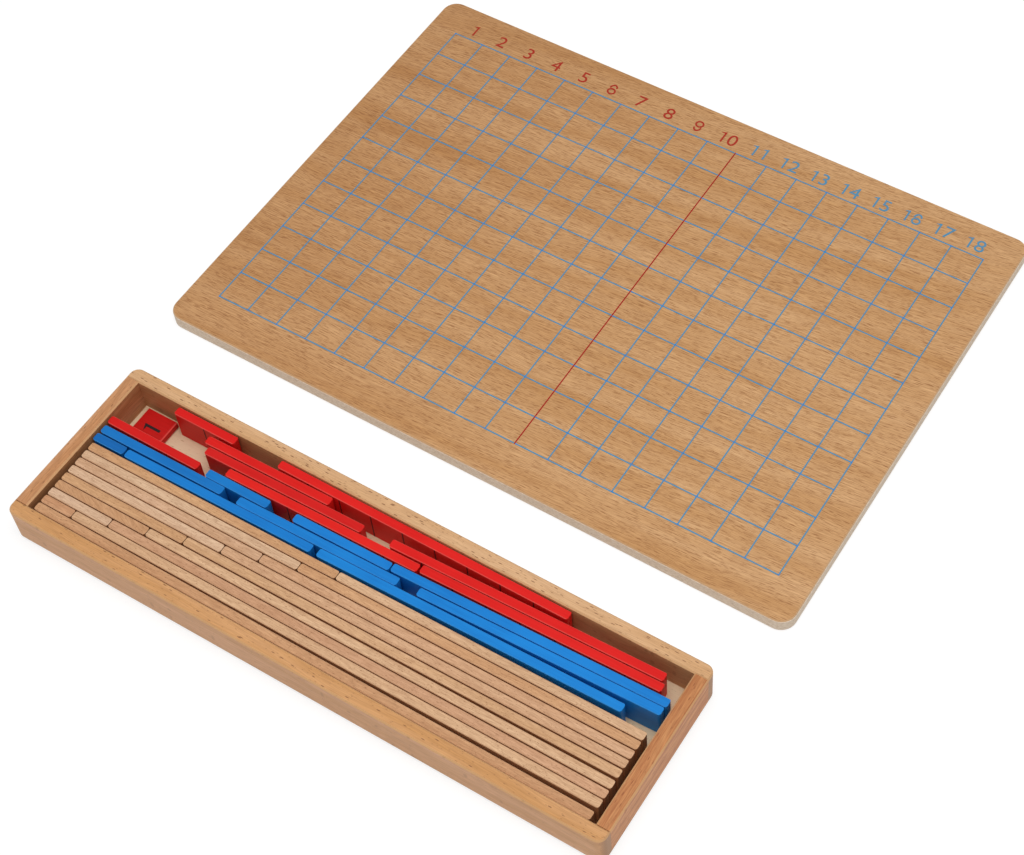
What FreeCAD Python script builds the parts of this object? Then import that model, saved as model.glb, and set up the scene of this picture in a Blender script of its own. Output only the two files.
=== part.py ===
import FreeCAD, Part

import math
import os

# Strip board for adding and taking away: a veneered board ruled in 12 rows of 18 squares, and the open
# tray that stands in front of it with its 35 counting strips on edge.
# Millimetres, +Z up, +X along the numbers, +Y from the tray towards the numbers.
# The origin is the middle of the set's footprint, on the table.

# Ruled squares
CELL = 20.0
COLUMNS = 18
ROWS = 12
TEN = 10
LINE_WIDTH = 0.8
TEN_LINE_WIDTH = 0.7
TEN_LINE_SHIFT = -0.9
INK = 0.1

# Board round the squares
SIDE_MARGIN = 19.0
BACK_MARGIN = 24.0
FRONT_MARGIN = 24.5
BOARD_THICKNESS = 9.0
VENEER = 0.6
BOARD_CORNER = 9.0
BOARD_EASING = 0.8

# Counting strips, one square wide and 1 to 17 squares long
STRIP_THICKNESS = 5.0
STRIP_NOSE = 1.3
STRIP_EASING = 0.35
PLAIN_COUNT = 17
MARK_WIDTH = 0.6

# Tray
TRAY_GAP = 45.5
TRAY_SHIFT = 1.9
TRAY_PLAY = 7.0
WALL = 8.0
RIM_RISE = 2.0
TRAY_FLOOR = 3.0
FLOOR_INSET = 1.0
TRAY_CORNER = 5.0
TRAY_EASING = 0.8

# Plain rows, from the front wall back: the clear space in front of each row at its two ends
LEFT_SPACES = (0.9, 0.4, 0.4, 0.5, 0.4, 0.4, 0.5, 0.45, 0.45)
RIGHT_SPACES = (0.6, 2.2, 0.5, 0.8, 1.5, 0.8, 0.6, 0.7, 0.6)
PLAIN_START = 2.9
END_SPACE = 0.4

# Coloured strips on edge, each with its length in squares, then the whole squares and the clear space from
# the left wall to its left end, then the strips and the clear space from the front wall to its back face,
# with the clear space given at the left end and at the right end
BLUE_PLACES = (
    (1, 0, 1.2, 10, 5.7, 5.9),
    (6, 1, 2.4, 10, 5.6, 7.3),
    (9, 7, 6.4, 10, 7.5, 11.0),
    (4, 0, 1.5, 11, 6.6, 7.2),
    (5, 4, 11.8, 11, 6.8, 8.6),
    (7, 10, 3.6, 11, 9.4, 14.0),
    (2, 3, 7.4, 12, 7.4, 7.6),
    (3, 6, 3.4, 12, 8.3, 9.0),
    (8, 9, 4.2, 12, 9.5, 14.3),
)
RED_PLACES = (
    (3, 0, 1.0, 12, 8.2, 8.2),
    (6, 3, 16.2, 13, 8.0, 10.4),
    (7, 9, 17.4, 13, 11.2, 15.1),
    (5, 2, 18.2, 14, 8.5, 10.2),
    (8, 8, 15.4, 14, 11.0, 15.7),
    (4, 2, 14.2, 15, 9.2, 10.4),
)
# Red strips along the rear wall: squares long, squares and clear space to the left end, then the clear
# space behind at the left end and at the right end
REAR_PLACES = (
    (2, 1, 8.4, 0.7, 0.6),
    (9, 4, 17.0, 0.4, 0.5),
)
REAR_ROWS = 16
REAR_ROW_PLAY = 11.5
# The shortest red strip lies flat: clear space to the left wall, rows on edge in front of it, clear space
# in front and clear space behind
FLAT_START = 4.8
FLAT_ROWS = 12
FLAT_FRONT_SPACE = 8.8
FLAT_BACK_SPACE = 2.7

# Sizes that follow
BOARD_LENGTH = COLUMNS * CELL + 2 * SIDE_MARGIN
BOARD_WIDTH = ROWS * CELL + BACK_MARGIN + FRONT_MARGIN
STRIP_WIDTH = CELL
REAR_ROW_DEPTH = REAR_ROWS * STRIP_THICKNESS + REAR_ROW_PLAY
FLAT_DEPTH = FLAT_ROWS * STRIP_THICKNESS + FLAT_FRONT_SPACE + STRIP_WIDTH + FLAT_BACK_SPACE
TRAY_DEPTH = max(REAR_ROW_DEPTH, FLAT_DEPTH)
TRAY_INSIDE = PLAIN_COUNT * CELL + TRAY_PLAY
TRAY_LENGTH = TRAY_INSIDE + 2 * WALL
TRAY_WIDTH = TRAY_DEPTH + 2 * WALL
WALL_HEIGHT = STRIP_WIDTH + RIM_RISE
SET_WIDTH = BOARD_WIDTH + TRAY_GAP + TRAY_WIDTH

BOARD_LEFT = -BOARD_LENGTH / 2
BOARD_FRONT = SET_WIDTH / 2 - BOARD_WIDTH
GRID_LEFT = BOARD_LEFT + SIDE_MARGIN
GRID_FRONT = BOARD_FRONT + FRONT_MARGIN
TEN_LINE_LEFT = GRID_LEFT + TEN * CELL + TEN_LINE_SHIFT - TEN_LINE_WIDTH / 2
TRAY_LEFT = TRAY_SHIFT - TRAY_LENGTH / 2
TRAY_FRONT = -SET_WIDTH / 2
INSIDE_LEFT = TRAY_LEFT + WALL
INSIDE_FRONT = TRAY_FRONT + WALL


def block(x, y, z, length, width, height):
    """A box by its lowest corner and its sizes along X, Y and Z."""
    return Part.makeBox(length, width, height, FreeCAD.Vector(x, y, z))


def edges_along(solid, axis):
    """The straight edges that run along one axis."""
    found = []
    for edge in solid.Edges:
        run = edge.Vertexes[-1].Point - edge.Vertexes[0].Point
        if run.Length > 0 and abs(abs(run.dot(axis)) - run.Length) < 1e-6:
            found.append(edge)
    return found


def edges_at(solid, height):
    """The edges that lie level at one height."""
    level = []
    for edge in solid.Edges:
        box = edge.BoundBox
        if abs(box.ZMin - height) < 1e-6 and abs(box.ZMax - height) < 1e-6:
            level.append(edge)
    return level


def board_blank():
    """The whole pressed board, with round corners and bevelled edges."""
    blank = block(BOARD_LEFT, BOARD_FRONT, 0, BOARD_LENGTH, BOARD_WIDTH, BOARD_THICKNESS)
    blank = blank.makeFillet(BOARD_CORNER, edges_along(blank, FreeCAD.Vector(0, 0, 1)))
    rims = edges_at(blank, 0) + edges_at(blank, BOARD_THICKNESS)
    return blank.makeChamfer(BOARD_EASING, rims)


def board_layer(blank, bottom, top):
    """One layer of the board, between two heights."""
    slab = block(BOARD_LEFT, BOARD_FRONT, bottom, BOARD_LENGTH, BOARD_WIDTH, top - bottom)
    return blank.common(slab).Solids[0]


def ten_line():
    """The line after the tenth column. It is a second printing, which fell a little to the left."""
    front = GRID_FRONT - LINE_WIDTH / 2
    return block(TEN_LINE_LEFT, front, BOARD_THICKNESS, TEN_LINE_WIDTH, ROWS * CELL + LINE_WIDTH, INK)


def ruled_field(left, right, columns):
    """Printed lines between two edges as one film: level lines, and upright ones after some columns."""
    front = GRID_FRONT - LINE_WIDTH / 2
    lines = []
    for row in range(ROWS + 1):
        lines.append(block(left, front + row * CELL, BOARD_THICKNESS, right - left, LINE_WIDTH, INK))
    for column in columns:
        line_left = GRID_LEFT + column * CELL - LINE_WIDTH / 2
        line_length = ROWS * CELL + LINE_WIDTH
        lines.append(block(line_left, front, BOARD_THICKNESS, LINE_WIDTH, line_length, INK))
    return lines[0].multiFuse(lines[1:]).removeSplitter().Solids[0]


def grid_lines():
    """The printed squares, as one film of ink on each side of the ten line."""
    left_edge = GRID_LEFT - LINE_WIDTH / 2
    right_edge = GRID_LEFT + COLUMNS * CELL + LINE_WIDTH / 2
    units = ruled_field(left_edge, TEN_LINE_LEFT, range(TEN))
    teens = ruled_field(TEN_LINE_LEFT + TEN_LINE_WIDTH, right_edge, range(TEN + 1, COLUMNS + 1))
    return Part.makeCompound([units, teens])


def long_wall(front, outer_side):
    """A wall over the tray's whole length; outer_side is -1 at the front and 1 at the back."""
    wall = block(TRAY_LEFT, front, TRAY_FLOOR, TRAY_LENGTH, WALL, WALL_HEIGHT)
    inner_face = front + WALL if outer_side < 0 else front
    corners = [edge for edge in edges_along(wall, FreeCAD.Vector(0, 0, 1))
               if abs(edge.BoundBox.YMin - inner_face) > 1e-6]
    wall = wall.makeFillet(TRAY_CORNER, corners)
    return wall.makeChamfer(TRAY_EASING, edges_at(wall, TRAY_FLOOR + WALL_HEIGHT))


def end_wall(left):
    """A wall that stands between the two long walls."""
    wall = block(left, INSIDE_FRONT, TRAY_FLOOR, WALL, TRAY_DEPTH, WALL_HEIGHT)
    rim = [edge for edge in edges_along(wall, FreeCAD.Vector(0, 1, 0))
           if edge.BoundBox.ZMin > TRAY_FLOOR + 1e-6]
    return wall.makeChamfer(TRAY_EASING, rim)


def tray_floor():
    """The thin bottom sheet, fixed under the walls and set in a little from their faces."""
    length = TRAY_LENGTH - 2 * FLOOR_INSET
    width = TRAY_WIDTH - 2 * FLOOR_INSET
    sheet = block(TRAY_LEFT + FLOOR_INSET, TRAY_FRONT + FLOOR_INSET, 0, length, width, TRAY_FLOOR)
    corners = edges_along(sheet, FreeCAD.Vector(0, 0, 1))
    return sheet.makeFillet(TRAY_CORNER - FLOOR_INSET, corners)


def strip_on_edge(squares):
    """A strip on edge, its left end and its back face at the origin, with eased arrises and round ends."""
    strip = block(0, -STRIP_THICKNESS, 0, squares * CELL, STRIP_THICKNESS, STRIP_WIDTH)
    strip = strip.makeChamfer(STRIP_EASING, edges_along(strip, FreeCAD.Vector(1, 0, 0)))
    return strip.makeFillet(STRIP_NOSE, edges_along(strip, FreeCAD.Vector(0, 0, 1)))


def strip_placement(squares, start, back_left, back_right):
    """Where a strip stands in the tray: its left end from the left wall, and its back face from the
    front wall at the left end and at the right end."""
    turn = math.degrees(math.asin((back_right - back_left) / (squares * CELL)))
    place = FreeCAD.Vector(INSIDE_LEFT + start, INSIDE_FRONT + back_left, TRAY_FLOOR)
    return FreeCAD.Placement(place, FreeCAD.Rotation(FreeCAD.Vector(0, 0, 1), turn))


def placed(shape, placement):
    """A copy of a shape, moved to its place."""
    copy = shape.copy()
    copy.transformShape(placement.toMatrix(), True)
    return copy


def plain_rows():
    """The plain strips' places, row by row: the first row is the longest alone, the rest are pairs."""
    places = {}
    back_left = 0.0
    back_right = 0.0
    for row, (left_space, right_space) in enumerate(zip(LEFT_SPACES, RIGHT_SPACES)):
        back_left += left_space + STRIP_THICKNESS
        back_right += right_space + STRIP_THICKNESS
        run = PLAIN_COUNT * CELL + END_SPACE
        slope = (back_right - back_left) / run
        short = row
        start = PLAIN_START
        if short > 0:
            middle = back_left + slope * short * CELL
            places[short] = (start, back_left, middle)
            start += short * CELL + END_SPACE
            back_start = back_left + slope * (short * CELL + END_SPACE)
        else:
            back_start = back_left
        long = PLAIN_COUNT - short
        places[long] = (start, back_start, back_start + slope * long * CELL)
    return places


def rows_placement(squares, cells, space, rows, left_space, right_space):
    """Where a coloured strip stands behind a number of rows."""
    depth = rows * STRIP_THICKNESS
    return strip_placement(squares, cells * CELL + space, depth + left_space, depth + right_space)


def rear_placement(squares, cells, space, left_space, right_space):
    """Where a red strip stands along the rear wall."""
    return strip_placement(squares, cells * CELL + space, TRAY_DEPTH - left_space, TRAY_DEPTH - right_space)


def red_placements():
    """The places of the red strips on edge, by their length in squares."""
    places = {place[0]: rows_placement(*place) for place in RED_PLACES}
    for place in REAR_PLACES:
        places[place[0]] = rear_placement(*place)
    return dict(sorted(places.items()))


def flat_one():
    """The shortest red strip, lying on its wide face on the tray's floor."""
    strip = strip_on_edge(1)
    strip.rotate(FreeCAD.Vector(0, 0, 0), FreeCAD.Vector(1, 0, 0), -90)
    front = INSIDE_FRONT + TRAY_DEPTH - FLAT_BACK_SPACE - STRIP_WIDTH
    strip.translate(FreeCAD.Vector(INSIDE_LEFT + FLAT_START, front, TRAY_FLOOR))
    return strip


def division_marks():
    """The ink lines that part a red strip's front face into squares, all strips together."""
    marks = []
    height = STRIP_WIDTH - 2 * STRIP_EASING
    for squares, placement in red_placements().items():
        for square in range(1, squares):
            left = square * CELL - MARK_WIDTH / 2
            mark = block(left, -STRIP_THICKNESS - INK, STRIP_EASING, MARK_WIDTH, INK, height)
            marks.append(placed(mark, placement))
    return Part.makeCompound(marks)


def build():
    """Every piece of the set by its name."""
    nodes = {}
    blank = board_blank()
    nodes["board_bottom_veneer"] = board_layer(blank, 0, VENEER)
    nodes["board_core"] = board_layer(blank, VENEER, BOARD_THICKNESS - VENEER)
    nodes["board_top_veneer"] = board_layer(blank, BOARD_THICKNESS - VENEER, BOARD_THICKNESS)
    nodes["grid_lines"] = grid_lines()
    nodes["ten_line"] = ten_line()
    nodes["tray_floor"] = tray_floor()
    nodes["tray_front_wall"] = long_wall(TRAY_FRONT, -1)
    nodes["tray_rear_wall"] = long_wall(INSIDE_FRONT + TRAY_DEPTH, 1)
    nodes["tray_left_end"] = end_wall(TRAY_LEFT)
    nodes["tray_right_end"] = end_wall(INSIDE_LEFT + TRAY_INSIDE)
    for squares, place in sorted(plain_rows().items()):
        strip = strip_on_edge(squares)
        nodes[f"plain_strip_{squares:02d}"] = placed(strip, strip_placement(squares, *place))
    for place in sorted(BLUE_PLACES):
        nodes[f"blue_strip_{place[0]}"] = placed(strip_on_edge(place[0]), rows_placement(*place))
    nodes["red_strip_1"] = flat_one()
    for squares, placement in red_placements().items():
        nodes[f"red_strip_{squares}"] = placed(strip_on_edge(squares), placement)
    nodes["red_strip_marks"] = division_marks()
    return nodes


os.makedirs("parts", exist_ok=True)
for name, shape in build().items():
    shape.exportStep(f"parts/{name}.step")
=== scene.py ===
import logging
import math
from dataclasses import dataclass, replace
from enum import Enum
from typing import Any

import bmesh
import bpy
from mathutils import Matrix, Vector


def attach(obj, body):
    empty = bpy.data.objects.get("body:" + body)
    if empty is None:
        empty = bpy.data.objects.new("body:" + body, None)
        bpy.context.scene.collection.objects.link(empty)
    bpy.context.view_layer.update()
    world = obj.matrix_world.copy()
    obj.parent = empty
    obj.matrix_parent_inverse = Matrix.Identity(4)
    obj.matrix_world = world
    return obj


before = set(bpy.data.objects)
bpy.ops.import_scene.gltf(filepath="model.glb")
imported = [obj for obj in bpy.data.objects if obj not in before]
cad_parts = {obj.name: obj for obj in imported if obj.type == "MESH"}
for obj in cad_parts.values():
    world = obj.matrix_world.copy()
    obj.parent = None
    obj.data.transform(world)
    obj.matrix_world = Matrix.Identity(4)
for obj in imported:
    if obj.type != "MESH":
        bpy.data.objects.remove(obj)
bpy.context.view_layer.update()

LOG = logging.getLogger("counting_board")
Socket = bpy.types.NodeSocket
Triple = tuple[float, float, float]

# One millimetre in Blender's metres.
MM = 0.001
# A Mix node's sockets for colours, which share their names with its sockets for numbers.
MIX_FACTOR, MIX_FIRST, MIX_SECOND, MIX_RESULT = 0, 6, 7, 2
UNCHANGED = (1.0, 1.0, 1.0)
# Millimetres along, across and deep over which the fibres drift once.
DRIFT_RUN = (70.0, 22.0, 22.0)
# Millimetres along the row of numbers where the veneer's painted shade is deepest, and where it stops.
SHADE_DEEPEST, SHADE_STOP = -150.0, 60.0
# Millimetres across the fibres to the one line where the veneer's streaks don't lean.
STRAIGHT_LINE = 77.0
# A wave of this scale draws a growth ring every 1.5 mm.
RING_SCALE = 0.21
# How far an eased arris takes on its lighter tone, a painted highlight.
ARRIS_HIGHLIGHT = 0.7
# Points closer than this, in metres, are one.
NEAR = 2e-6


def linear(code: str) -> tuple[float, float, float, float]:
    """Turn an sRGB colour into the linear values that shaders take.

    Args:
        code: Six hex digits, two each for red, green and blue.

    Returns:
        Linear red, green and blue, and an alpha of 1.
    """
    shares = [int(code[place:place + 2], 16) / 255 for place in (0, 2, 4)]
    red, green, blue = (c / 12.92 if c <= 0.04045 else ((c + 0.055) / 1.055) ** 2.4 for c in shares)
    return red, green, blue, 1.0


def add_node(
    tree: bpy.types.NodeTree,
    kind: str,
    settings: dict[str | int, Any] | None = None,
    links: dict[str | int, Socket] | None = None,
) -> bpy.types.Node:
    """Add one node to a tree, set it up and plug it in.

    Args:
        tree: The tree of a material or of the world.
        kind: The node's type.
        settings: Properties by their name, and fixed inputs by their name or number.
        links: Sockets to plug in, by the input's name or number.

    Returns:
        The new node.
    """
    node = tree.nodes.new(kind)
    for name, value in (settings or {}).items():
        if isinstance(name, str) and hasattr(node, name):
            setattr(node, name, value)
        else:
            node.inputs[name].default_value = value
    for name, source in (links or {}).items():
        tree.links.new(source, node.inputs[name])
    return node


def new_material(name: str, settings: dict[str | int, Any]) -> tuple[bpy.types.Material, bpy.types.Node]:
    """Start a material with one shader plugged into its output.

    Args:
        name: The finish's name.
        settings: The shader's fixed inputs, by name.

    Returns:
        The material and its shader node.
    """
    material = bpy.data.materials.new(name)
    material.use_nodes = True
    material.node_tree.nodes.clear()
    shader = add_node(material.node_tree, "ShaderNodeBsdfPrincipled", settings)
    add_node(material.node_tree, "ShaderNodeOutputMaterial", links={"Surface": shader.outputs["BSDF"]})
    return material, shader


def dress(node_name: str, material: bpy.types.Material) -> None:
    """Give one solid of the frame its finish."""
    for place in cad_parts[node_name].material_slots:
        place.material = material


def upright_share(tree: bpy.types.NodeTree) -> Socket:
    """Find the faces that stand upright.

    Args:
        tree: The material's tree.

    Returns:
        A value of 1 on upright faces and 0 on level ones.
    """
    place = add_node(tree, "ShaderNodeTexCoord")
    facing = add_node(tree, "ShaderNodeSeparateXYZ", links={0: place.outputs["Normal"]})
    level = add_node(tree, "ShaderNodeMath", {"operation": "ABSOLUTE"}, {0: facing.outputs[2]})
    return add_node(tree, "ShaderNodeMapRange", {"From Min": 0.6, "From Max": 0.2},
                    {"Value": level.outputs[0]}).outputs[0]


def arris_share(tree: bpy.types.NodeTree) -> Socket:
    """Find the narrow sloping faces between level and upright ones.

    Args:
        tree: The material's tree.

    Returns:
        A value of 1 on the eased arrises and 0 on level and upright faces.
    """
    place = add_node(tree, "ShaderNodeTexCoord")
    facing = add_node(tree, "ShaderNodeSeparateXYZ", links={0: place.outputs["Normal"]})
    upward = add_node(tree, "ShaderNodeMath", {"operation": "MULTIPLY"},
                      {0: facing.outputs[2], 1: facing.outputs[2]})
    sideways = add_node(tree, "ShaderNodeMath", {"operation": "SUBTRACT", 0: 1.0}, {1: upward.outputs[0]})
    # This product is 0 on level and upright faces, and 0.25 on a slope of 45 degrees.
    slope = add_node(tree, "ShaderNodeMath", {"operation": "MULTIPLY"},
                     {0: upward.outputs[0], 1: sideways.outputs[0]})
    return add_node(tree, "ShaderNodeMapRange", {"From Min": 0.12, "From Max": 0.24},
                    {"Value": slope.outputs[0]}).outputs[0]


class Grain(Enum):
    """Which way the fibres of a piece of wood run, in degrees turned from the row of numbers."""

    LENGTHWISE = 0.0
    CROSSWISE = 90.0
    SLICED = 3.8
    SLANTED = -24.0


@dataclass(frozen=True)
class Flecks:
    """Dark dashes that the rays of beech leave on a cut face, in millimetres."""

    length: float
    width: float
    depth: float
    apart_along: float
    apart_across: float
    apart_deep: float
    share: float
    strength: float
    scatter: float = 0.95
    core: float = 0.45

    def mask(self, tree: bpy.types.NodeTree, fibres: Socket) -> Socket:
        """Draw the dashes.

        Args:
            tree: The material's tree.
            fibres: Millimetres along the fibres, across them and deep.

        Returns:
            A value of 0 between the dashes that rises to the strength inside them.
        """
        apart = (self.apart_along, self.apart_across, self.apart_deep)
        reach = (2 * self.apart_along / self.length, 2 * self.apart_across / self.width,
                 2 * self.apart_deep / self.depth)
        cell = add_node(tree, "ShaderNodeVectorMath", {"operation": "DIVIDE", 1: apart}, {0: fibres})
        spread = add_node(tree, "ShaderNodeTexVoronoi", {"Scale": 1.0, "Randomness": self.scatter},
                          {"Vector": cell.outputs[0]})
        offset = add_node(tree, "ShaderNodeVectorMath", {"operation": "SUBTRACT"},
                          {0: cell.outputs[0], 1: spread.outputs["Position"]})
        shaped = add_node(tree, "ShaderNodeVectorMath", {"operation": "MULTIPLY", 1: reach},
                          {0: offset.outputs[0]})
        away = add_node(tree, "ShaderNodeVectorMath", {"operation": "LENGTH"}, {0: shaped.outputs[0]})
        dash = add_node(tree, "ShaderNodeMapRange",
                        {"interpolation_type": "SMOOTHSTEP", "From Min": 1.0, "From Max": self.core,
                         "To Max": self.strength}, {"Value": away.outputs["Value"]})
        draw = add_node(tree, "ShaderNodeSeparateColor", links={0: spread.outputs["Color"]})
        kept = add_node(tree, "ShaderNodeMath", {"operation": "LESS_THAN", 1: self.share},
                        {0: draw.outputs[0]})
        return add_node(tree, "ShaderNodeMath", {"operation": "MULTIPLY"},
                        {0: dash.outputs[0], 1: kept.outputs[0]}).outputs[0]


@dataclass(frozen=True)
class Beech:
    """Beech, sawn or sliced: fine fibres, pink and tan bands, and the dark dashes of its rays along the grain.

    Sizes are in millimetres along the fibres, across them and deep. Side multiplies the tone of upright faces,
    partly as the other cut's own tone and partly as painted light and shade. Fade darkens the tone towards the
    left as painted shade, and pith is where the trunk's heart lies, across the end and up.
    """

    name: str
    light: str
    dark: str
    fleck: str
    end: str
    grain: Grain
    flecks: tuple[Flecks, ...]
    shift: Triple = (0.0, 0.0, 0.0)
    band: Triple = (150.0, 9.0, 9.0)
    fibre: Triple = (14.0, 0.5, 0.5)
    wander: float = 7.2
    contrast: float = 0.35
    # A lighter tone on the eased arrises, a painted highlight.
    arris: str = "DDBB90"
    # Multiplies the tone of upright faces: partly the other cut's own tone, partly painted light and shade.
    side: Triple = (0.97, 1.0, 1.15)
    fan: tuple[float, float] = (0.0, 0.0)
    # Multiplies the tone towards the left side, as painted shade.
    fade: Triple = UNCHANGED
    pith: tuple[float, float] = (-200.0, -14.0)
    roughness: float = 0.5
    sheen_level: float = 0.35

    def fibres(self, tree: bpy.types.NodeTree) -> Socket:
        """Lay coordinates along the fibres, which wander a little.

        Args:
            tree: The material's tree.

        Returns:
            Millimetres along the fibres, across them and deep.
        """
        place = add_node(tree, "ShaderNodeTexCoord")
        turned = add_node(tree, "ShaderNodeMapping",
                          {"Scale": (1 / MM, 1 / MM, 1 / MM), "Location": self.shift,
                           "Rotation": (0.0, 0.0, -math.radians(self.grain.value))},
                          {"Vector": place.outputs["Object"]})
        slow = add_node(tree, "ShaderNodeVectorMath", {"operation": "DIVIDE", 1: DRIFT_RUN},
                        {0: turned.outputs[0]})
        drift = add_node(tree, "ShaderNodeTexNoise", {"Scale": 1.0, "Detail": 1.0},
                         {"Vector": slow.outputs[0]})
        centred = add_node(tree, "ShaderNodeVectorMath", {"operation": "SUBTRACT", 1: (0.5, 0.5, 0.5)},
                           {0: drift.outputs["Color"]})
        pushed = add_node(tree, "ShaderNodeVectorMath",
                          {"operation": "MULTIPLY", 1: (0.0, self.wander, self.wander)},
                          {0: centred.outputs[0]})
        drifted = add_node(tree, "ShaderNodeVectorMath", {"operation": "ADD"},
                           {0: turned.outputs[0], 1: pushed.outputs[0]})
        if not any(self.fan):
            return drifted.outputs[0]
        # The streaks lean more towards the back right, so each bends by its place along and across.
        lean_across, lean_along = self.fan
        spot = add_node(tree, "ShaderNodeSeparateXYZ", links={0: turned.outputs[0]})
        lean = add_node(tree, "ShaderNodeMath",
                        {"operation": "MULTIPLY_ADD", 1: lean_across, 2: -STRAIGHT_LINE * lean_across},
                        {0: spot.outputs[1]})
        curve = add_node(tree, "ShaderNodeMath", {"operation": "MULTIPLY_ADD", 1: lean_along / 2},
                         {0: spot.outputs[0], 2: lean.outputs[0]})
        bend = add_node(tree, "ShaderNodeMath", {"operation": "MULTIPLY"},
                        {0: spot.outputs[0], 1: curve.outputs[0]})
        bent = add_node(tree, "ShaderNodeCombineXYZ", links={1: bend.outputs[0]})
        return add_node(tree, "ShaderNodeVectorMath", {"operation": "SUBTRACT"},
                        {0: drifted.outputs[0], 1: bent.outputs[0]}).outputs[0]

    def colour(self, tree: bpy.types.NodeTree) -> tuple[Socket, Socket, Socket]:
        """Mix the wood's colour.

        Args:
            tree: The material's tree.

        Returns:
            The colour, the fibres' pattern and the dashes' pattern.
        """
        fibres = self.fibres(tree)
        wide = add_node(tree, "ShaderNodeVectorMath", {"operation": "DIVIDE", 1: self.band}, {0: fibres})
        bands = add_node(tree, "ShaderNodeTexNoise", {"Scale": 1.0, "Detail": 2.0, "Roughness": 0.6},
                         {"Vector": wide.outputs[0]})
        fine = add_node(tree, "ShaderNodeVectorMath", {"operation": "DIVIDE", 1: self.fibre}, {0: fibres})
        threads = add_node(tree, "ShaderNodeTexNoise", {"Scale": 1.0, "Detail": 2.0, "Roughness": 0.65},
                           {"Vector": fine.outputs[0]})
        # Noise keeps near the middle of its range, so these limits spread it out.
        band_share = add_node(tree, "ShaderNodeMapRange", {"From Min": 0.33, "From Max": 0.67},
                              {"Value": bands.outputs[0]})
        thread_share = add_node(tree, "ShaderNodeMapRange",
                                {"From Min": 0.3, "From Max": 0.7, "To Max": self.contrast},
                                {"Value": threads.outputs[0]})
        broad = add_node(tree, "ShaderNodeMix",
                         {"data_type": "RGBA", MIX_FIRST: linear(self.light), MIX_SECOND: linear(self.dark)},
                         {MIX_FACTOR: band_share.outputs[0]})
        threaded = add_node(tree, "ShaderNodeMix", {"data_type": "RGBA", MIX_SECOND: linear(self.fleck)},
                            {MIX_FACTOR: thread_share.outputs[0], MIX_FIRST: broad.outputs[MIX_RESULT]})
        marks = self.marks(tree, fibres)
        flecked = add_node(tree, "ShaderNodeMix", {"data_type": "RGBA", MIX_SECOND: linear(self.fleck)},
                           {MIX_FACTOR: marks, MIX_FIRST: threaded.outputs[MIX_RESULT]})
        return self.faded(tree, flecked.outputs[MIX_RESULT]), threads.outputs[0], marks

    def marks(self, tree: bpy.types.NodeTree, fibres: Socket) -> Socket:
        """Draw the dashes of every size.

        Args:
            tree: The material's tree.
            fibres: Millimetres along the fibres, across them and deep.

        Returns:
            A value of 0 between the dashes that rises inside them.
        """
        marks = self.flecks[0].mask(tree, fibres)
        for layer in self.flecks[1:]:
            marks = add_node(tree, "ShaderNodeMath", {"operation": "MAXIMUM"},
                             {0: marks, 1: layer.mask(tree, fibres)}).outputs[0]
        # Upright faces cut the rays along their depth, where they hardly differ from the wood.
        kept = add_node(tree, "ShaderNodeMapRange", {"To Min": 1.0, "To Max": 0.3},
                        {"Value": upright_share(tree)})
        return add_node(tree, "ShaderNodeMath", {"operation": "MULTIPLY"},
                        {0: marks, 1: kept.outputs[0]}).outputs[0]

    def faded(self, tree: bpy.types.NodeTree, colour: Socket) -> Socket:
        """Darken the veneer towards its left side with painted shade, as the photo shows it.

        Args:
            tree: The material's tree.
            colour: The wood's colour.

        Returns:
            The colour, darker towards the left with the painted shade.
        """
        if self.fade == UNCHANGED:
            return colour
        place = add_node(tree, "ShaderNodeTexCoord")
        spot = add_node(tree, "ShaderNodeSeparateXYZ", links={0: place.outputs["Object"]})
        outward = add_node(tree, "ShaderNodeMapRange", {"From Min": SHADE_DEEPEST * MM, "From Max": SHADE_STOP * MM},
                           {"Value": spot.outputs[0]})
        shade_tone = add_node(tree, "ShaderNodeMix",
                        {"data_type": "RGBA", MIX_FIRST: (*self.fade, 1.0), MIX_SECOND: (*UNCHANGED, 1.0)},
                        {MIX_FACTOR: outward.outputs[0]})
        return add_node(tree, "ShaderNodeVectorMath", {"operation": "MULTIPLY"},
                        {0: colour, 1: shade_tone.outputs[MIX_RESULT]}).outputs[0]

    def end_share(self, tree: bpy.types.NodeTree) -> Socket:
        """Find the faces that cut the fibres across.

        Args:
            tree: The material's tree.

        Returns:
            A value of 1 on end grain and 0 on the long faces.
        """
        axis = (0.0, 1.0, 0.0) if self.grain is Grain.CROSSWISE else (1.0, 0.0, 0.0)
        place = add_node(tree, "ShaderNodeTexCoord")
        along = add_node(tree, "ShaderNodeVectorMath", {"operation": "DOT_PRODUCT", 1: axis},
                         {0: place.outputs["Normal"]})
        size = add_node(tree, "ShaderNodeMath", {"operation": "ABSOLUTE"}, {0: along.outputs["Value"]})
        return add_node(tree, "ShaderNodeMapRange", {"From Min": 0.6, "From Max": 0.95},
                        {"Value": size.outputs[0]}).outputs[0]

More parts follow.
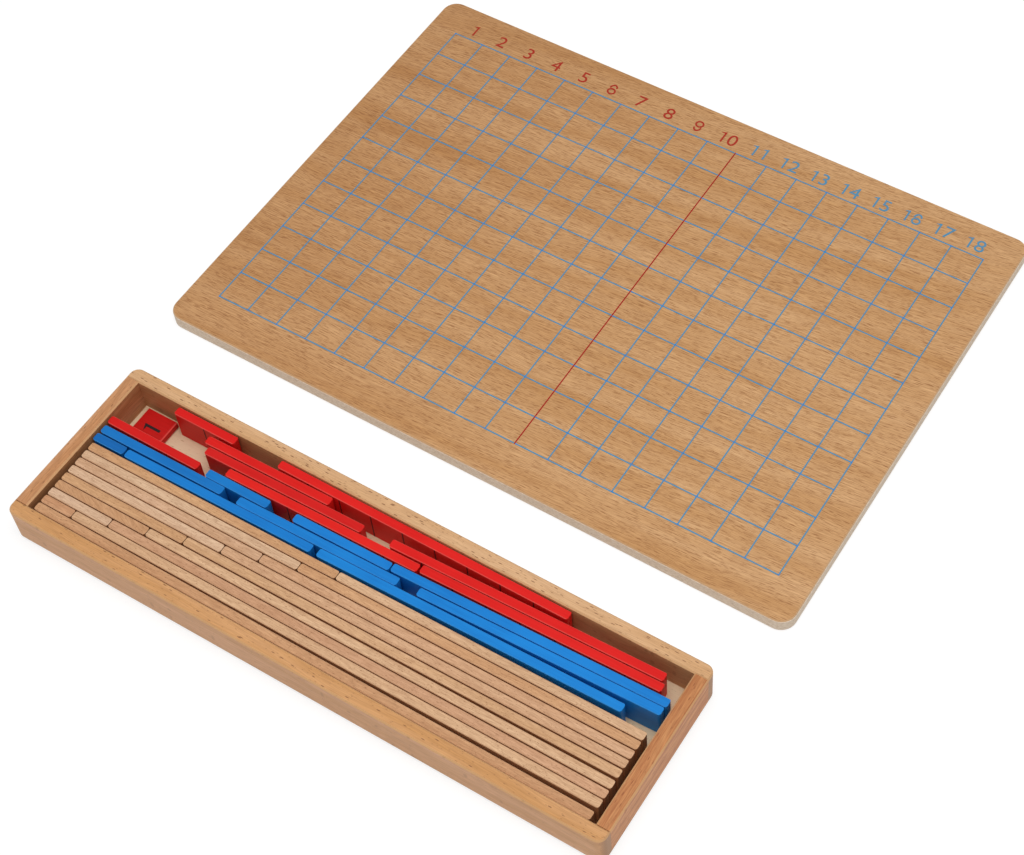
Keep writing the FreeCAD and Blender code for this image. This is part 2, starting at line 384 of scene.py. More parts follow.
    def end_tone(self, tree: bpy.types.NodeTree) -> Socket:
        """Draw the growth rings round the heart of the trunk.

        Args:
            tree: The material's tree.

        Returns:
            The colour of the end grain.
        """
        place = add_node(tree, "ShaderNodeTexCoord")
        heart = (-self.pith[0], -self.pith[0], -self.pith[1])
        spot = add_node(tree, "ShaderNodeMapping", {"Scale": (1 / MM, 1 / MM, 1 / MM), "Location": heart},
                        {"Vector": place.outputs["Object"]})
        rings = add_node(tree, "ShaderNodeTexWave",
                         {"wave_type": "RINGS", "rings_direction": "Y" if self.grain is Grain.CROSSWISE else "X",
                          "Scale": RING_SCALE, "Distortion": 1.2, "Detail": 1.0, "Detail Scale": 0.3},
                         {"Vector": spot.outputs[0]})
        share = add_node(tree, "ShaderNodeMath", {"operation": "MULTIPLY", 1: 0.5}, {0: rings.outputs["Fac"]})
        return add_node(tree, "ShaderNodeMix",
                        {"data_type": "RGBA", MIX_FIRST: linear(self.end), MIX_SECOND: linear(self.fleck)},
                        {MIX_FACTOR: share.outputs[0]}).outputs[MIX_RESULT]

    def material(self) -> bpy.types.Material:
        """Build the finish as a new material."""
        material, shader = new_material(self.name, {"Specular IOR Level": self.sheen_level})
        tree = material.node_tree
        colour, threads, marks = self.colour(tree)
        # Upright faces take the side multiplier: painted light and shade, partly the other cut's own tone.
        upright_light_and_shade = add_node(tree, "ShaderNodeVectorMath", {"operation": "MULTIPLY", 1: self.side}, {0: colour})
        lit_and_shaded_sides = add_node(tree, "ShaderNodeMix", {"data_type": "RGBA"},
                         {MIX_FACTOR: upright_share(tree), MIX_FIRST: colour, MIX_SECOND: upright_light_and_shade.outputs[0]})
        # Painted highlight: the eased arrises take the lighter arris tone.
        highlight_share = add_node(tree, "ShaderNodeMath", {"operation": "MULTIPLY", 1: ARRIS_HIGHLIGHT},
                          {0: arris_share(tree)})
        highlighted = add_node(tree, "ShaderNodeMix", {"data_type": "RGBA", MIX_SECOND: linear(self.arris)},
                         {MIX_FACTOR: highlight_share.outputs[0], MIX_FIRST: lit_and_shaded_sides.outputs[MIX_RESULT]})
        ends = add_node(tree, "ShaderNodeMix", {"data_type": "RGBA"},
                        {MIX_FACTOR: self.end_share(tree), MIX_FIRST: highlighted.outputs[MIX_RESULT],
                         MIX_SECOND: self.end_tone(tree)})
        rough = add_node(tree, "ShaderNodeMapRange",
                         {"To Min": self.roughness - 0.06, "To Max": self.roughness + 0.08},
                         {"Value": threads})
        # The dashes lie a little lower than the fibres round them.
        groove = add_node(tree, "ShaderNodeMath", {"operation": "MULTIPLY_ADD", 1: -1.5},
                          {0: marks, 2: threads})
        bump = add_node(tree, "ShaderNodeBump", {"Strength": 0.25, "Distance": 0.06 * MM},
                        {"Height": groove.outputs[0]})
        tree.links.new(ends.outputs[MIX_RESULT], shader.inputs["Base Color"])
        tree.links.new(rough.outputs[0], shader.inputs["Roughness"])
        tree.links.new(bump.outputs[0], shader.inputs["Normal"])
        return material


# Each dash's length, width and depth, the three distances between dashes, the share kept and the strength.
# Veneer: dashes about 6 mm long lie 1.1 mm apart, with finer ones between them.
VENEER_FLECKS = (
    Flecks(6.0, 0.42, 400.0, 6.0, 1.1, 400.0, 0.9, 0.8),
    Flecks(3.4, 0.32, 400.0, 3.4, 0.8, 400.0, 0.6, 0.62),
)
# Solid beech walls: rays 3 mm long stand a few millimetres deep and show as short dark dashes on top.
SAWN_FLECKS = (
    Flecks(3.1, 0.65, 7.0, 6.5, 2.3, 9.0, 0.5, 0.85),
    Flecks(1.6, 0.45, 3.0, 3.2, 1.3, 3.6, 0.5, 0.45),
)
# The rear wall's plank is cut so that its rays lie closer together.
DENSE_FLECKS = (
    Flecks(3.3, 0.65, 7.0, 5.2, 1.9, 9.0, 0.75, 0.95),
    SAWN_FLECKS[1],
)
# Sanded strips: the rays are cut nearly across and show as fine dots.
STRIP_FLECKS = (
    Flecks(1.6, 0.5, 5.0, 4.4, 1.9, 6.0, 0.5, 0.65),
    Flecks(1.2, 0.4, 2.4, 2.1, 1.0, 2.8, 0.55, 0.55),
)

# The veneer's fade is painted shade towards the board's left side.
BOARD_VENEER = Beech("beech_veneer_satin", "E5B784", "D09D65", "8A5424", "C9A887", Grain.SLICED, VENEER_FLECKS,
                     band=(300.0, 18.0, 400.0), fibre=(15.0, 0.42, 400.0), contrast=0.64, arris="CEA77D",
                     side=(0.97, 1.05, 1.2), fan=(0.0002, 0.00014), fade=(0.89, 0.83, 0.76))


@dataclass(frozen=True)
class FibreBoard:
    """Fibre board, sawn and sanded: an even grey beige with short pale and dark fibres that lie level."""

    name: str = "fibre_board_sanded_edge"
    middle: str = "E4D0B9"
    pale: str = "F3E7D8"
    dark: str = "C3AC94"
    fibre: Triple = (1.6, 1.6, 0.35)

    def material(self) -> bpy.types.Material:
        """Build the finish as a new material."""
        material, shader = new_material(self.name, {"Specular IOR Level": 0.25, "Roughness": 0.8})
        tree = material.node_tree
        place = add_node(tree, "ShaderNodeTexCoord")
        lain = add_node(tree, "ShaderNodeVectorMath",
                        {"operation": "DIVIDE", 1: tuple(side * MM for side in self.fibre)},
                        {0: place.outputs["Object"]})
        fibres = add_node(tree, "ShaderNodeTexNoise", {"Scale": 1.0, "Detail": 3.0, "Roughness": 0.6},
                          {"Vector": lain.outputs[0]})
        low = add_node(tree, "ShaderNodeMapRange", {"From Min": 0.5, "From Max": 0.3, "To Max": 0.8},
                       {"Value": fibres.outputs[0]})
        high = add_node(tree, "ShaderNodeMapRange", {"From Min": 0.5, "From Max": 0.72, "To Max": 0.8},
                        {"Value": fibres.outputs[0]})
        darker = add_node(tree, "ShaderNodeMix",
                          {"data_type": "RGBA", MIX_FIRST: linear(self.middle), MIX_SECOND: linear(self.dark)},
                          {MIX_FACTOR: low.outputs[0]})
        both = add_node(tree, "ShaderNodeMix", {"data_type": "RGBA", MIX_SECOND: linear(self.pale)},
                        {MIX_FACTOR: high.outputs[0], MIX_FIRST: darker.outputs[MIX_RESULT]})
        bump = add_node(tree, "ShaderNodeBump", {"Strength": 0.4, "Distance": 0.1 * MM},
                        {"Height": fibres.outputs[0]})
        tree.links.new(both.outputs[MIX_RESULT], shader.inputs["Base Color"])
        tree.links.new(bump.outputs[0], shader.inputs["Normal"])
        return material


@dataclass(frozen=True)
class Lacquer:
    """Satin lacquer on sanded beech: a strong colour that shows the fibres, with a painted highlight on the
    arrises.
    """

    name: str
    body: str
    shade: str
    arris: str
    shift: Triple = (0.0, 0.0, 0.0)
    roughness: float = 0.42
    fibre: Triple = (18.0, 0.9, 0.9)
    cloud: float = 26.0

    def material(self) -> bpy.types.Material:
        """Build the finish as a new material."""
        material, shader = new_material(self.name, {"Specular IOR Level": 0.12, "Roughness": self.roughness})
        tree = material.node_tree
        place = add_node(tree, "ShaderNodeTexCoord")
        along = add_node(tree, "ShaderNodeMapping",
                         {"Scale": tuple(1 / (side * MM) for side in self.fibre), "Location": self.shift},
                         {"Vector": place.outputs["Object"]})
        fibres = add_node(tree, "ShaderNodeTexNoise", {"Scale": 1.0, "Detail": 2.0, "Roughness": 0.6},
                          {"Vector": along.outputs[0]})
        cloud = add_node(tree, "ShaderNodeTexNoise", {"Scale": 1 / (self.cloud * MM), "Detail": 1.0},
                         {"Vector": place.outputs["Object"]})
        both = add_node(tree, "ShaderNodeMath", {"operation": "MULTIPLY"},
                        {0: fibres.outputs[0], 1: cloud.outputs[0]})
        share = add_node(tree, "ShaderNodeMapRange", {"From Min": 0.12, "From Max": 0.42},
                         {"Value": both.outputs[0]})
        body = add_node(tree, "ShaderNodeMix",
                        {"data_type": "RGBA", MIX_FIRST: linear(self.body), MIX_SECOND: linear(self.shade)},
                        {MIX_FACTOR: share.outputs[0]})
        # Painted highlight: the eased arrises take the lighter arris tone.
        thin = add_node(tree, "ShaderNodeMath", {"operation": "MULTIPLY", 1: ARRIS_HIGHLIGHT}, {0: arris_share(tree)})
        lacquer_highlighted = add_node(tree, "ShaderNodeMix", {"data_type": "RGBA", MIX_SECOND: linear(self.arris)},
                        {MIX_FACTOR: thin.outputs[0], MIX_FIRST: body.outputs[MIX_RESULT]})
        bump = add_node(tree, "ShaderNodeBump", {"Strength": 0.2, "Distance": 0.05 * MM},
                        {"Height": fibres.outputs[0]})
        tree.links.new(lacquer_highlighted.outputs[MIX_RESULT], shader.inputs["Base Color"])
        tree.links.new(bump.outputs[0], shader.inputs["Normal"])
        return material


@dataclass(frozen=True)
class PrintedInk:
    """Screen ink, printed thin on wood, whose pores break it; two coats are deeper."""

    name: str
    body: str
    pores: float
    double: str = ""
    wood: Beech = BOARD_VENEER

    def material(self, cell: float = 0.0, left: float = 0.0, front: float = 0.0) -> bpy.types.Material:
        """Build the finish.

        Args:
            cell: The squares' size in millimetres where ruled lines cross, or 0 for print without crossings.
            left: The squares' left edge.
            front: The squares' front edge.

        Returns:
            The new material.
        """
        material, shader = new_material(self.name, {"Specular IOR Level": 0.25, "Roughness": 0.55})
        tree = material.node_tree
        colour, threads, marks = self.wood.colour(tree)
        body = add_node(tree, "ShaderNodeMix",
                        {"data_type": "RGBA", MIX_FACTOR: 0.0, MIX_FIRST: linear(self.body),
                         MIX_SECOND: linear(self.double or self.body)})
        if cell:
            tree.links.new(self.crossings(tree, cell, left, front), body.inputs[MIX_FACTOR])
        thin = add_node(tree, "ShaderNodeMapRange",
                        {"From Min": 0.45, "From Max": 0.75, "To Max": 0.6 * self.pores}, {"Value": threads})
        gaps = add_node(tree, "ShaderNodeMath", {"operation": "MULTIPLY_ADD", 1: self.pores},
                        {0: marks, 2: thin.outputs[0]})
        printed = add_node(tree, "ShaderNodeMix", {"data_type": "RGBA"},
                           {MIX_FACTOR: gaps.outputs[0], MIX_FIRST: body.outputs[MIX_RESULT], MIX_SECOND: colour})
        tree.links.new(printed.outputs[MIX_RESULT], shader.inputs["Base Color"])
        return material

    def crossings(self, tree: bpy.types.NodeTree, cell: float, left: float, front: float) -> Socket:
        """Find where two printed lines cross.

        Args:
            tree: The material's tree.
            cell: The squares' size in millimetres.
            left: The squares' left edge.
            front: The squares' front edge.

        Returns:
            A value of 1 at the crossings and 0 along the lines.
        """
        place = add_node(tree, "ShaderNodeTexCoord")
        counted = add_node(tree, "ShaderNodeMapping",
                           {"Scale": (1 / (cell * MM), 1 / (cell * MM), 0.0),
                            "Location": (0.5 - left / cell, 0.5 - front / cell, 0.0)},
                           {"Vector": place.outputs["Object"]})
        inside = add_node(tree, "ShaderNodeVectorMath", {"operation": "FRACTION"}, {0: counted.outputs[0]})
        centred = add_node(tree, "ShaderNodeVectorMath", {"operation": "SUBTRACT", 1: (0.5, 0.5, 0.0)},
                           {0: inside.outputs[0]})
        away = add_node(tree, "ShaderNodeVectorMath", {"operation": "LENGTH"}, {0: centred.outputs[0]})
        # Both limits are shares of a square.
        return add_node(tree, "ShaderNodeMapRange", {"From Min": 0.07, "From Max": 0.03},
                        {"Value": away.outputs["Value"]}).outputs[0]


@dataclass
class RuledBoard:
    """The veneered board with its printed squares and the numbers behind them, in millimetres."""

    cell: float = 20.0
    columns: int = 18
    ten: int = 10
    left: float = -180.0
    front: float = -43.25
    rows: int = 12
    top: float = 9.0
    figure_height: float = 8.6
    figure_stroke: float = 1.1
    figure_rise: float = 3.6
    red_shift: float = -0.6
    blue_shift: float = 1.0

    def build(self) -> None:
        """Dress the board's layers and its ruled lines, and print the numbers."""
        veneer = BOARD_VENEER.material()
        dress("board_top_veneer", veneer)
        dress("board_bottom_veneer", veneer)
        dress("board_core", FibreBoard().material())
        blue = PrintedInk("blue_screen_ink", "4A8DB1", pores=0.4, double="2A86C4")
        red = PrintedInk("red_screen_ink", "A82A18", pores=0.1)
        rule = PrintedInk("red_rule_ink", "A01208", pores=0.0)
        dress("grid_lines", blue.material(self.cell, self.left, self.front))
        dress("ten_line", rule.material())
        LOG.info("board: layers and ruled lines dressed")
        self.print_numbers("red_numbers", range(1, self.ten + 1), self.red_shift, red.material())
        self.print_numbers("blue_numbers", range(self.ten + 1, self.columns + 1), self.blue_shift,
                           blue.material())

    def print_numbers(
        self, name: str, numbers: range, shift: float, material: bpy.types.Material
    ) -> None:
        """Print a run of numbers behind their columns, as one piece.

        Args:
            name: The piece's name.
            numbers: The numbers to print.
            shift: How far this printing fell to the right of the columns' middles.
            material: The ink.
        """
        baseline = self.front + self.rows * self.cell + self.figure_rise
        type_face = Figures(self.figure_height, self.figure_stroke)
        figures = []
        for number in numbers:
            middle = self.left + (number - 0.5) * self.cell + shift
            figures.append(type_face.number(str(number), (middle, baseline, self.top)))
        piece = joined(name, figures)
        piece.data.materials.append(material)
        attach(piece, "root")
        LOG.info("%s: %d figures, %d faces", name, len(figures), len(piece.data.polygons))


@dataclass
class Figures:
    """Figures printed as thin closed films of ink.

    Height, stroke and film are in millimetres, and the other measures are shares of the height or the typeface.
    """

    height: float
    stroke: float
    film: float = 0.1
    spacing: float = 0.79
    stroke_shift: float = 1.2
    flag_top: float = 0.81
    flag_foot: float = 0.78
    flag_steps: tuple[tuple[float, float], ...] = ((-0.12, -0.1), (-0.15, -0.07))
    flag_taper: float = 0.9
    bowl_width: float = 0.66
    bowl_height: float = 0.62
    tip_cut: Triple = (0.35, 1.0, 0.0)
    stroke_cut: Triple = (0.62, -0.78, 0.0)
    ring_points: int = 28
    type_width: float = 1.07
    type_height: float = 0.691

    def one(self) -> bpy.types.Object:
        """Draw a one: an upright stroke with a flag that bends down to the left.

        Returns:
            The figure's flat mesh, its foot at the origin.
        """
        height, half = self.height * MM, self.stroke * MM / 2
        bpy.ops.mesh.primitive_plane_add(size=1.0)
        figure = bpy.context.object
        bpy.ops.object.mode_set(mode="EDIT")
        bpy.ops.transform.resize(value=(2 * half, height, 1.0))
        bpy.ops.transform.translate(value=(self.stroke_shift * half, height / 2, 0.0))
        bpy.ops.mesh.bisect(plane_co=(0.0, self.flag_top * height, 0.0), plane_no=(0.0, 1.0, 0.0))
        self.select_left_edge(figure, self.flag_foot * height)
        for left, up in self.flag_steps:
            bpy.ops.mesh.extrude_edges_move(TRANSFORM_OT_translate={"value": (left * height, up * height, 0.0)})
            bpy.ops.transform.resize(value=(1.0, self.flag_taper, 1.0))
        self.raise_film()
        return figure

    def select_left_edge(self, figure: bpy.types.Object, above: float) -> None:
        """Select the edge at the stroke's upper left.

        Args:
            figure: The mesh in edit mode.
            above: The height in metres that both ends of the edge are above.
        """
        drawn = bmesh.from_edit_mesh(figure.data)
        left = min(vert.co.x for vert in drawn.verts)
        for edge in drawn.edges:
            edge.select_set(all(vert.co.x < left + NEAR and vert.co.y > above for vert in edge.verts))
        drawn.select_flush_mode()
        bmesh.update_edit_mesh(figure.data)

    def ring(self, width: float, bottom: float, top: float) -> bpy.types.Object:
        """Draw a flat oval ring of the stroke's width, left in edit mode.

        Args:
            width: The oval's width in metres.
            bottom: The lowest point.
            top: The highest point.

        Returns:
            The ring.
        """
        outer = Vector((width / 2, (top - bottom) / 2))
        inner = outer - Vector((self.stroke, self.stroke)) * MM
        bpy.ops.mesh.primitive_circle_add(vertices=self.ring_points, radius=1.0)
        ring = bpy.context.object
        bpy.ops.object.mode_set(mode="EDIT")
        bpy.ops.transform.resize(value=(inner.x, inner.y, 1.0))
        bpy.ops.mesh.extrude_edges_move()
        bpy.ops.transform.resize(value=(outer.x / inner.x, outer.y / inner.y, 1.0),
                                 center_override=(0.0, 0.0, 0.0))
        bpy.ops.mesh.select_all(action="SELECT")
        bpy.ops.transform.translate(value=(0.0, (top + bottom) / 2, 0.0))
        return ring

    def raise_film(self) -> None:
        """Give the flat mesh in edit mode its thickness."""
        bpy.ops.mesh.select_all(action="SELECT")
        bpy.ops.mesh.extrude_region_move(TRANSFORM_OT_translate={"value": (0.0, 0.0, self.film * MM)})
        bpy.ops.object.mode_set(mode="OBJECT")

    def six(self, turned: bool = False) -> bpy.types.Object:
        """Draw a six: a round bowl, and a stroke that rises from its left side and curls over.

        Args:
            turned: Whether to turn it into a nine.

        Returns:
            The figure's mesh, its foot at the origin.
        """
        height = self.height * MM
        width = self.bowl_width * height
        bowl = self.ring(width, 0.0, self.bowl_height * height)
        self.raise_film()
        curl = self.ring(width, 0.0, height)
        middle = (0.0, height / 2, 0.0)
        # The cuts leave the ring's upper left part, from the curl's tip down to the bowl.
        bpy.ops.mesh.bisect(plane_co=middle, plane_no=self.tip_cut, clear_inner=True)
        bpy.ops.mesh.select_all(action="SELECT")
        bpy.ops.mesh.bisect(plane_co=middle, plane_no=self.stroke_cut, clear_outer=True)
        self.raise_film()
        figure = joined("six", [bowl, curl])
        if turned:
            figure.matrix_world = (Matrix.Translation(Vector(middle)) @ Matrix.Rotation(math.pi, 4, "Z")
                                   @ Matrix.Translation(-Vector(middle)))
            bpy.ops.object.transform_apply(location=True, rotation=True, scale=True)
        return figure

    def typed(self, digit: str) -> bpy.types.Object:
        """Set any other figure in type.

        Args:
            digit: The figure.

        Returns:
            The figure's mesh, its foot at the origin.
        """
        bpy.ops.object.text_add()
        figure = bpy.context.object
        figure.data.body = digit
        figure.data.size = self.height * MM / self.type_height
        figure.data.align_x = "CENTER"
        figure.data.resolution_u = 5
        figure.data.extrude = self.film * MM / 2
        bpy.ops.object.convert(target="MESH")
        figure = bpy.context.object
        bpy.ops.object.mode_set(mode="EDIT")
        bpy.ops.mesh.select_all(action="SELECT")
        bpy.ops.transform.resize(value=(self.type_width, 1.0, 1.0), center_override=(0.0, 0.0, 0.0))
        bpy.ops.transform.translate(value=(0.0, 0.0, self.film * MM / 2))
        bpy.ops.object.mode_set(mode="OBJECT")
        return figure

    def number(self, text: str, foot: Triple, turn: float = 0.0) -> bpy.types.Object:
        """Print one number.

        Args:
            text: Its digits.
            foot: The middle of the baseline, on the printed face.
            turn: Degrees to turn the number by, seen from above.

        Returns:
            The number's mesh, in place.
        """
        bpy.ops.object.select_all(action="DESELECT")
        digits = []
        for place, digit in enumerate(text):
            if digit == "1":
                figure = self.one()
            elif digit in "69":
                figure = self.six(turned=digit == "9")
            else:
                figure = self.typed(digit)
            figure.location.x = (place - (len(text) - 1) / 2) * self.spacing * self.height * MM
            digits.append(figure)
        number = joined("number", digits)
        number.matrix_world = (Matrix.Translation(Vector(foot) * MM)
                               @ Matrix.Rotation(math.radians(turn), 4, "Z") @ number.matrix_world)
        bpy.ops.object.transform_apply(location=True, rotation=True, scale=True)
        bpy.ops.object.mode_set(mode="EDIT")
        bpy.ops.mesh.select_all(action="SELECT")
        bpy.ops.mesh.remove_doubles(threshold=NEAR)
        bpy.ops.mesh.normals_make_consistent(inside=False)
        bpy.ops.object.mode_set(mode="OBJECT")
        return number


def joined(name: str, parts: list[bpy.types.Object]) -> bpy.types.Object:
    """Join several meshes into one piece.

    Args:
        name: The piece's name.
        parts: The meshes, all in place.

    Returns:
        The joined piece.
    """
    bpy.ops.object.select_all(action="DESELECT")
    for part in parts:
        part.select_set(True)
    bpy.context.view_layer.objects.active = parts[0]
    if len(parts) > 1:
        bpy.ops.object.join()
    piece = bpy.context.view_layer.objects.active
    piece.name = name
    piece.data.name = name
    return piece


@dataclass
class Tray:
    """The open tray: four walls of solid beech on a thin bottom sheet."""

    wall_tone: Beech = Beech("tray_beech_satin", "D2A473", "C0915F", "7A4A28", "B98B63", Grain.LENGTHWISE,
                             SAWN_FLECKS, band=(120.0, 7.0, 7.0), arris="D3A676")
    end_fibre: Triple = (9.0, 0.6, 0.6)
    sheet: Beech = Beech("bottom_sheet_plywood", "E2CBAA", "D8BE9B", "B3946F", "D9C2A2", Grain.LENGTHWISE,
                         SAWN_FLECKS, band=(90.0, 12.0, 400.0), contrast=0.2)

    def build(self) -> None:
        """Dress the walls, each cut from its own plank, and the bottom sheet."""
        # Each wall's side multiplier paints light and shade on its upright faces. The front and right walls are
        # lighter and the rear and left ones darker, partly with the other cut's own tone.
        front = replace(self.wall_tone, name="front_wall_beech", light="DFA770", dark="CF965A",
                        side=(1.08, 1.13, 1.41), shift=(11.0, 3.0, 5.0), pith=(-207.0, -6.0))
        rear = replace(self.wall_tone, name="rear_wall_beech", light="E5B88A", dark="D9A977",
                       flecks=DENSE_FLECKS, side=(0.79, 0.7, 0.61), shift=(57.0, 31.0, 12.0), pith=(-128.0, -9.0))
        left = replace(self.wall_tone, name="left_end_beech", light="DFA77A", dark="CE9261",
                       side=(0.82, 0.76, 0.7), grain=Grain.CROSSWISE, fibre=self.end_fibre,
                       contrast=0.5, shift=(5.0, 17.0, 23.0))
        right = replace(self.wall_tone, name="right_end_beech", light="DA9D63", dark="BA7440",
                        fleck="8A4A22", grain=Grain.CROSSWISE, band=(90.0, 2.6, 3.0), fibre=self.end_fibre,
                        contrast=0.6, side=(1.2, 1.22, 1.26), shift=(83.0, 7.0, 3.0))
        dress("tray_front_wall", front.material())
        dress("tray_rear_wall", rear.material())
        dress("tray_left_end", left.material())
        dress("tray_right_end", right.material())
        dress("tray_floor", self.sheet.material())
        LOG.info("tray: four walls and the bottom sheet dressed")


# Each plain strip's light and dark tone, from the shortest to the longest.
PLAIN_TONES = (
    ("E1AE84", "CE976E"), ("EFCBAD", "DEB895"), ("D8A67A", "CE9B6F"), ("E0B081", "CE9C6E"), ("F0CCA9", "E0B895"),
    ("EBC19E", "D6AA84"), ("EECAA5", "DCB591"), ("E0AF7F", "CE9A6D"), ("E8BF97", "D8AE86"), ("E1AF81", "CF9B6E"),
    ("E5B892", "D4A37B"), ("E4B890", "D4A57F"), ("E6BA8F", "D6A87B"), ("EAC198", "DAAE85"), ("DFAE88", "CF9D77"),
    ("EAC197", "DBAF86"), ("D8A67A", "C79368"),
)
# The lacquered strips' full and shaded tone, from the shortest to the longest.
BLUE_TONES = (
    ("176CB9", "135FA6"), ("1A7CCB", "1670BC"), ("1C83D6", "1776C8"), ("1A78C6", "166CB8"), ("1C83D4", "1876C6"),
    ("1A80D2", "1673C3"), ("1C87DA", "1779CA"), ("1C85D8", "1778C9"), ("1C87D8", "1779C9"),
)
# The first red strip, the flat one, is darker as painted shade where it lies in the tray.
RED_TONES = (
    ("C41A17", "B41310"), ("DE1F1C", "D01815"), ("D61E1C", "C91714"), ("DF201C", "D21915"), ("D6201E", "CA1916"),
    ("E5251F", "D91D18"), ("E1221E", "D51A17"), ("E1211E", "D51A17"), ("E3231F", "D71B18"),
)


@dataclass
class CountingStrips:
    """The strips in the tray: 17 plain ones, 9 blue and 9 red, and the figure on the flat one.

    A strip is known by its squares, and its grain starts that many steps along in the pattern.
    """

    lengths: int = 17
    coloured: int = 9
    slanted: int = 3
    # The side multiplier darkens the strips' upright faces as painted shade in the gaps. The end tone is end
    # grain, darkened further as painted shade.
    wood: Beech = Beech("sanded_beech", *PLAIN_TONES[0], "8A5A38", "8F6545", Grain.LENGTHWISE, STRIP_FLECKS,
                        band=(80.0, 5.0, 9.0), fibre=(6.0, 0.5, 0.5), contrast=0.5, arris="CDA07A",
                        side=(0.8, 0.6, 0.45), roughness=0.6, sheen_level=0.3)
    wood_step: Triple = (37.0, 13.0, 7.0)
    # Lighter tones on the lacquered strips' arrises, painted highlights.
    blue_arris: str = "3F94DC"
    red_arris: str = "F06058"
    lacquer_step: Triple = (3.7, 1.3, 0.0)
    figure_height: float = 10.5
    figure_stroke: float = 1.6
    figure_foot: Triple = (-151.2, -134.6, 8.0)

    def build(self) -> None:
        """Dress every strip and print the one figure that shows."""
        self.dress_plain()
        self.dress_coloured()
        self.print_figure()

    def dress_plain(self) -> None:
        """Give every plain strip a tone and a stretch of grain of its own."""
        for squares in range(1, self.lengths + 1):
            light, dark = PLAIN_TONES[squares - 1]
            grain = Grain.SLANTED if squares == self.slanted else Grain.LENGTHWISE
            shift = tuple(step * squares for step in self.wood_step)
            wood = replace(self.wood, name=f"sanded_beech_{squares:02d}", light=light, dark=dark, grain=grain,
                           shift=shift)
            dress(f"plain_strip_{squares:02d}", wood.material())
        LOG.info("strips: %d plain ones dressed", self.lengths)

    def dress_coloured(self) -> None:
        """Lacquer the blue and the red strips, and ink the lines that part the red ones."""
        for squares in range(1, self.coloured + 1):
            shift = tuple(step * squares for step in self.lacquer_step)
            blue = Lacquer(f"blue_lacquer_{squares}", *BLUE_TONES[squares - 1], self.blue_arris, shift)
            red = Lacquer(f"red_lacquer_{squares}", *RED_TONES[squares - 1], self.red_arris, shift)
            dress(f"blue_strip_{squares}", blue.material())
            dress(f"red_strip_{squares}", red.material())
        marks = PrintedInk("black_screen_ink", "3A0C10", pores=0.0)
        dress("red_strip_marks", marks.material())
        LOG.info("strips: %d blue and %d red ones dressed", self.coloured, self.coloured)

    def print_figure(self) -> None:
        """Print the figure on the flat red strip."""
        figure = Figures(self.figure_height, self.figure_stroke).number("1", self.figure_foot, 90.0)
        piece = joined("black_one", [figure])
        ink = PrintedInk("black_figure_ink", "200C0E", pores=0.0)
        piece.data.materials.append(ink.material())
        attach(piece, "root")
        LOG.info("black_one: %d faces", len(piece.data.polygons))


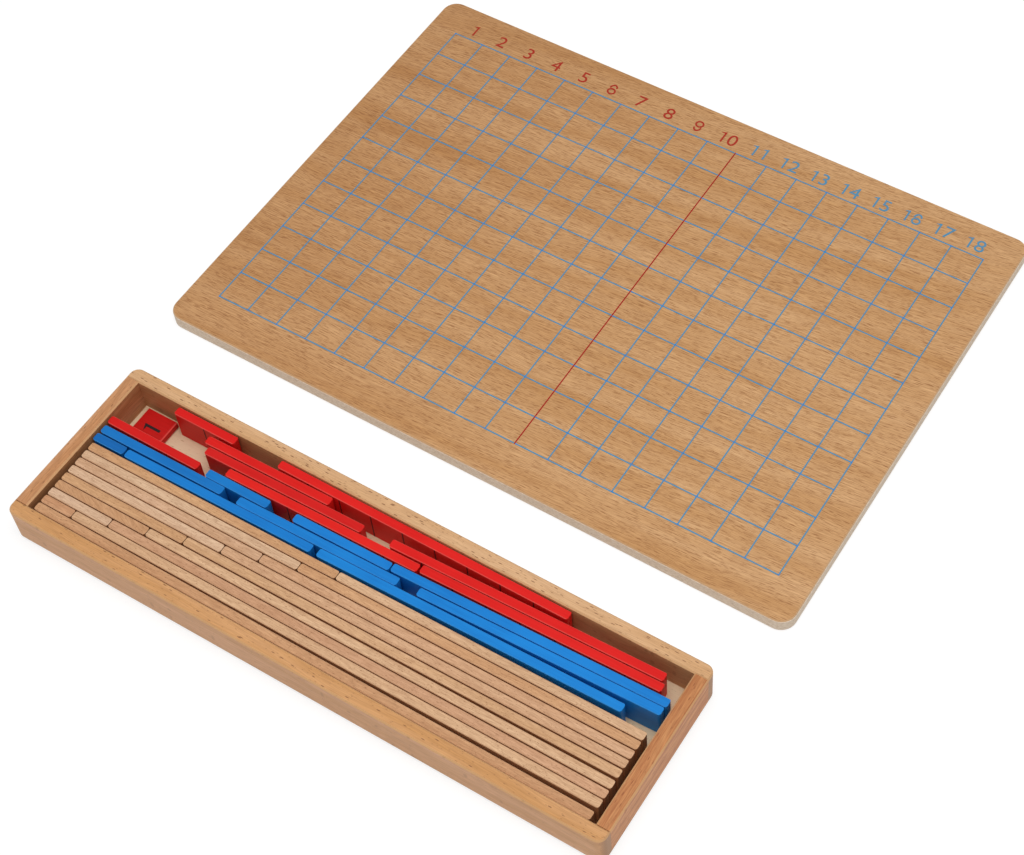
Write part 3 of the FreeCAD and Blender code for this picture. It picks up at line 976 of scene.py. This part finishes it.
@dataclass
class Studio:
    """A pale floor, a white room, one large soft lamp and the camera, in millimetres and degrees.

    The shift is less than the photograph's, so that the set stays in view from its other sides.
    """

    image: tuple[int, int] = (1024, 855)
    focal_pixels: float = 2060.88
    sensor: float = 36.0
    shift: float = -0.10
    eye: Triple = (407.41, -533.21, 919.52)
    heading: float = 33.466
    tilt: float = 34.69
    roll: float = -2.562
    sky: float = 0.42
    lamp_watts: float = 14.45
    lamp_place: Triple = (210.0, -220.0, 1480.0)
    lamp_size: float = 1000.0
    floor_radius: float = 4000.0
    floor_drop: float = 0.02
    paper: Triple = (0.82, 0.82, 0.82)
    paper_seen: Triple = (0.32, 0.32, 0.32)
    glow: tuple[float, float] = (0.74, 0.92)
    glow_run: tuple[float, float] = (600.0, 2500.0)
    clip: tuple[float, float] = (50.0, 20000.0)

    def build(self) -> None:
        """Set up the room, the lamp, the floor and the camera."""
        scene = bpy.context.scene
        scene.view_settings.view_transform = "Standard"
        self.light_room(scene)
        self.lay_floor()
        self.hang_lamp()
        self.stand_camera(scene)
        LOG.info("studio: floor, lamp and camera in place")

    def seen_directly(self, tree: bpy.types.NodeTree) -> Socket:
        """Tell rays that show the background from rays that light the set.

        Args:
            tree: The world's or the floor's tree.

        Returns:
            A value of 1 for camera, mirror and glass rays, and 0 for the rest.
        """
        rays = add_node(tree, "ShaderNodeLightPath")
        mirror = add_node(tree, "ShaderNodeMath", {"operation": "MAXIMUM"},
                          {0: rays.outputs["Is Camera Ray"], 1: rays.outputs["Is Glossy Ray"]})
        return add_node(tree, "ShaderNodeMath", {"operation": "MAXIMUM"},
                        {0: mirror.outputs[0], 1: rays.outputs["Is Transmission Ray"]}).outputs[0]

    def light_room(self, scene: bpy.types.Scene) -> None:
        """Surround the set with an even white room.

        Args:
            scene: The scene to light.
        """
        world = bpy.data.worlds.new("white_room")
        world.use_nodes = True
        tree = world.node_tree
        tree.nodes.clear()
        level = add_node(tree, "ShaderNodeMapRange", {"To Min": self.sky, "To Max": 1.0},
                         {"Value": self.seen_directly(tree)})
        room = add_node(tree, "ShaderNodeBackground", {"Color": (1.0, 1.0, 1.0, 1.0)},
                        {"Strength": level.outputs[0]})
        add_node(tree, "ShaderNodeOutputWorld", links={"Surface": room.outputs[0]})
        scene.world = world

    def lay_floor(self) -> None:
        """Lay the pale floor, which shows white away from the set and keeps a light shadow by it."""
        bpy.ops.object.select_all(action="DESELECT")
        bpy.ops.mesh.primitive_circle_add(vertices=64, radius=self.floor_radius * MM, fill_type="NGON",
                                          location=(0.0, 0.0, -self.floor_drop * MM))
        floor = bpy.context.object
        bpy.ops.object.transform_apply(location=True, rotation=True, scale=True)
        floor.name = "floor"
        floor.data.materials.append(self.floor_paper())

    def floor_paper(self) -> bpy.types.Material:
        """Build the floor's finish as a new material."""
        material = bpy.data.materials.new("white_paper_floor")
        material.use_nodes = True
        tree = material.node_tree
        tree.nodes.clear()
        seen = self.seen_directly(tree)
        tone = add_node(tree, "ShaderNodeMix",
                        {"data_type": "RGBA", MIX_FIRST: (*self.paper, 1.0), MIX_SECOND: (*self.paper_seen, 1.0)},
                        {MIX_FACTOR: seen})
        paper = add_node(tree, "ShaderNodeBsdfDiffuse", links={"Color": tone.outputs[MIX_RESULT]})
        # The lamp fades away from the set, so the floor's own white rises there.
        place = add_node(tree, "ShaderNodeTexCoord")
        away = add_node(tree, "ShaderNodeVectorMath", {"operation": "LENGTH"}, {0: place.outputs["Object"]})
        white = add_node(tree, "ShaderNodeMapRange",
                         {"From Min": self.glow_run[0] * MM, "From Max": self.glow_run[1] * MM,
                          "To Min": self.glow[0], "To Max": self.glow[1]}, {"Value": away.outputs["Value"]})
        glow_level = add_node(tree, "ShaderNodeMath", {"operation": "MULTIPLY"}, {0: seen, 1: white.outputs[0]})
        glow = add_node(tree, "ShaderNodeEmission", links={"Strength": glow_level.outputs[0]})
        both = add_node(tree, "ShaderNodeAddShader", links={0: paper.outputs[0], 1: glow.outputs[0]})
        add_node(tree, "ShaderNodeOutputMaterial", links={"Surface": both.outputs[0]})
        return material

    def hang_lamp(self) -> None:
        """Hang one large soft lamp over the set's right side."""
        bpy.ops.object.light_add(type="AREA", location=Vector(self.lamp_place) * MM)
        lamp = bpy.context.object
        lamp.name = "soft_lamp"
        lamp.data.energy = self.lamp_watts
        lamp.data.size = self.lamp_size * MM
        lamp.rotation_euler = Vector(self.lamp_place).to_track_quat("Z", "Y").to_euler()

    def stand_camera(self, scene: bpy.types.Scene) -> None:
        """Stand the camera where the photograph was taken from.

        Args:
            scene: The scene that the camera shows.
        """
        bpy.ops.object.camera_add()
        camera = bpy.context.object
        camera.name = "camera"
        camera.data.sensor_width = self.sensor
        camera.data.lens = self.focal_pixels * self.sensor / self.image[0]
        camera.data.shift_x = self.shift
        camera.data.clip_start, camera.data.clip_end = (reach * MM for reach in self.clip)
        turned = (Matrix.Rotation(math.radians(self.heading), 4, "Z")
                  @ Matrix.Rotation(math.radians(self.tilt), 4, "X")
                  @ Matrix.Rotation(math.radians(self.roll), 4, "Z"))
        camera.matrix_world = Matrix.Translation(Vector(self.eye) * MM) @ turned
        scene.camera = camera


def main() -> None:
    """Build the set piece by piece, and then the studio round it."""
    logging.basicConfig(level=logging.INFO)
    RuledBoard().build()
    Tray().build()
    CountingStrips().build()
    Studio().build()


if __name__ == "__main__":
    main()
